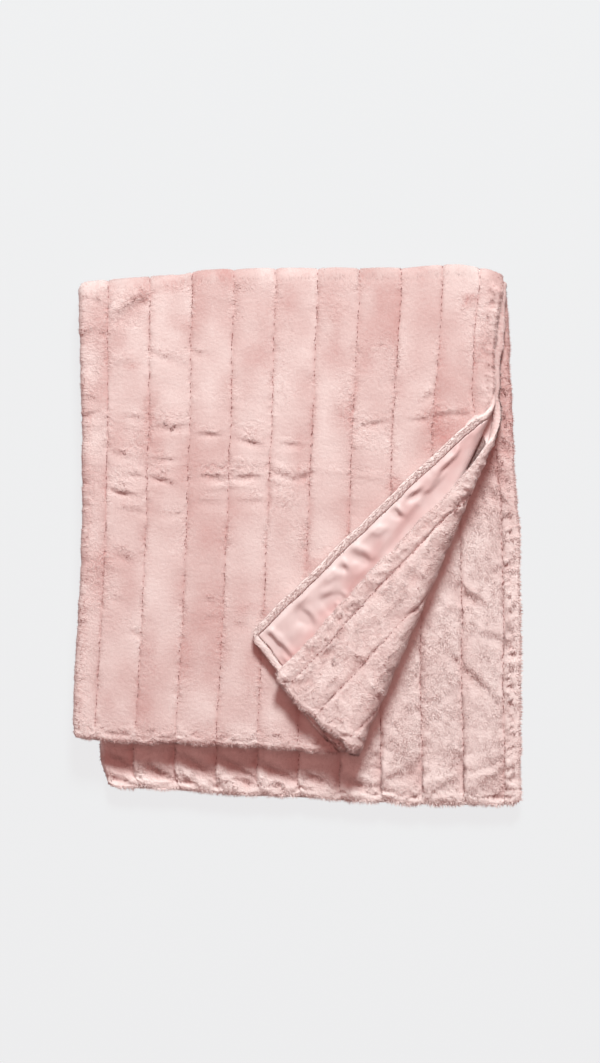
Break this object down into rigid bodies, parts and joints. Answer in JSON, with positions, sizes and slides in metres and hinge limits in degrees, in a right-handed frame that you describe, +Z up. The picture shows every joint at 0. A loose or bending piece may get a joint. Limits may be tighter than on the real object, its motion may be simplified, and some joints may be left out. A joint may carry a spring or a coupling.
{
  "type": "folded faux fur throw",
  "caption": "Ribbed faux fur throw with a smooth lining, folded in quarters and laid flat, one open corner turned back to show the lining.",
  "frame": {"origin": "on the resting surface, under the middle of the folded throw's outline", "axes": "+Z up from the surface it lies on; +Y towards the top fold, along the throw's longer side; +X to the right, towards the open cut edges"},
  "size_m": [0.6686, 0.8078, 0.068],
  "materials": {
    "faux_fur": "dense short pile in pale dusty pink, laid smooth in soft patches, parted along stitched channel seams",
    "lining_cloth": "smooth woven lining in pale pink with a soft sheen and loose creases"
  },
  "bodies": {
    "root": {"fur_shell": "faux_fur", "lining": "lining_cloth"}
  },
  "joints": []
}
